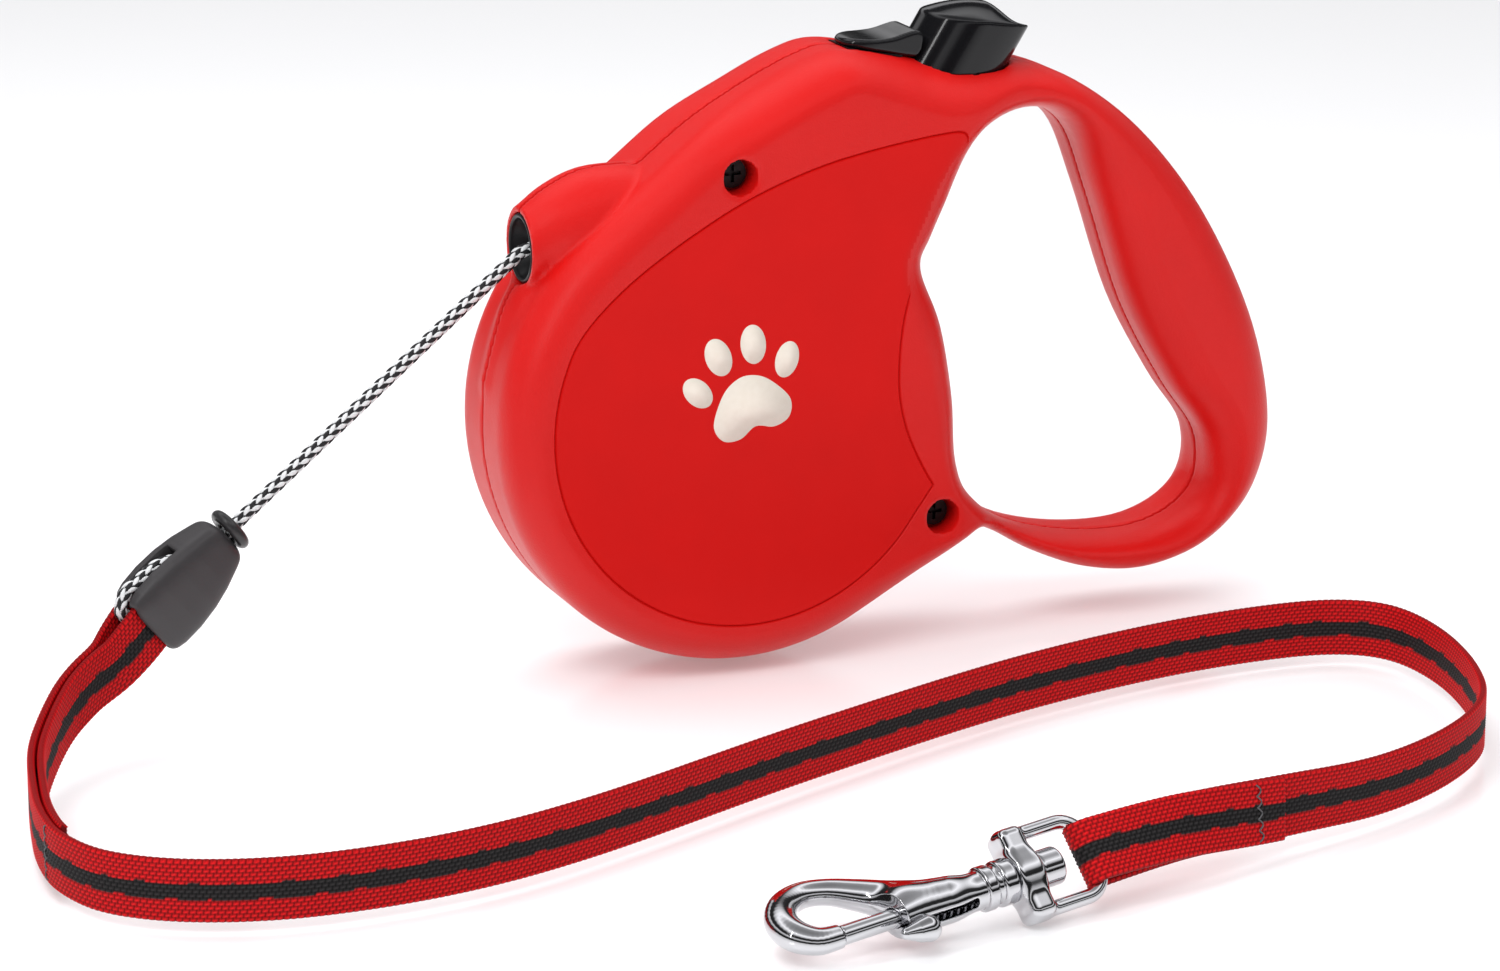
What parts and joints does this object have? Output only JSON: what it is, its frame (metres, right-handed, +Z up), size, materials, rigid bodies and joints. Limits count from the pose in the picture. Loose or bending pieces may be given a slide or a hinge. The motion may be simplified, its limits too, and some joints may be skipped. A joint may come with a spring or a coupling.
{
  "type": "retractable leash",
  "caption": "Retractable pet leash: sprung cord reel in a two-part loop-grip housing with brake button and lock slide, webbing tether and swivel bolt snap.",
  "frame": {"origin": "spool axis at the housing's parting plane", "axes": "+X towards the hand grip, +Z up with the housing standing, -Y the side with the screw holes; the spool axis is along Y"},
  "size_m": [0.2764, 0.1846, 0.1276],
  "materials": {
    "shell": "satin moulded plastic, fine texture",
    "black_plastic": "glossy moulded plastic",
    "guide_plastic": "satin",
    "coupling_plastic": "satin",
    "ring_rubber": "satin rubber",
    "cord_braid": "black and white braid",
    "webbing": "woven, black centre stripe",
    "thread": "sewing thread",
    "hook_chrome": "bright plated",
    "reel_plastic": "moulded",
    "spring_steel": "spring steel",
    "arbor_steel": "turned",
    "screw_steel": "black oxide"
  },
  "bodies": {
    "housing": {"left_shell": "shell", "right_shell": "shell", "housing_screws": "screw_steel", "cord_outlet": "guide_plastic", "control_guide": "guide_plastic", "brake_spring": "spring_steel", "spring_arbor": "arbor_steel", "cord_lead": "cord_braid", "cord": "cord_braid"},
    "reel": {"spool": "reel_plastic", "spool_cover": "reel_plastic", "mainspring": "spring_steel", "cord_winding": "cord_braid"},
    "button": {"brake_button": "black_plastic"},
    "lock": {"lock_slide": "black_plastic"},
    "tether": {"stop_ring": "ring_rubber", "cord_coupling": "coupling_plastic", "cord_end": "cord_braid", "tether_strap": "webbing", "strap_stitching": "thread"},
    "eye": {"swivel_eye": "hook_chrome"},
    "snap": {"hook_body": "hook_chrome", "bolt_spring": "spring_steel"},
    "bolt": {"hook_bolt": "hook_chrome"}
  },
  "joints": [
    {"name": "reel_spin", "type": "hinge", "parent": "housing", "child": "reel", "pos_m": [0, 0, 0], "axis": [0, 1, 0], "range_deg": [0, 120], "deforming": ["mainspring"]},
    {"name": "brake_press", "type": "slide", "parent": "housing", "child": "button", "axis": [-0.5299, 0, -0.848], "range_m": [0, 0.0035], "stiffness_N_per_m": 600, "springref_m": -0.002, "deforming": ["brake_spring"]},
    {"name": "lock_shift", "type": "slide", "parent": "housing", "child": "lock", "axis": [-0.9839, 0, 0.1788], "range_m": [0, 0.0035]},
    {"name": "cord_retract", "type": "slide", "parent": "housing", "child": "tether", "axis": [0.7978, 0.1281, 0.5891], "range_m": [0, 0.0692], "deforming": ["cord"]},
    {"name": "eye_swing", "type": "hinge", "parent": "tether", "child": "eye", "pos_m": [0.007, -0.1532, -0.0419], "axis": [-0.1828, 0.6199, 0.7631], "range_deg": [-35, 35]},
    {"name": "snap_swivel", "type": "hinge", "parent": "eye", "child": "snap", "pos_m": [-0.0072, -0.15583, -0.04316], "axis": [0.9795, 0.1815, 0.0872], "continuous": true},
    {"name": "bolt_pull", "type": "slide", "parent": "snap", "child": "bolt", "axis": [0.9795, 0.1815, 0.0872], "range_m": [0, 0.009], "stiffness_N_per_m": 250, "springref_m": -0.003, "deforming": ["bolt_spring"]}
  ],
  "couplings": [
    {"joint": "cord_retract", "follows": "reel_spin", "m_per_rad": 0.033}
  ]
}
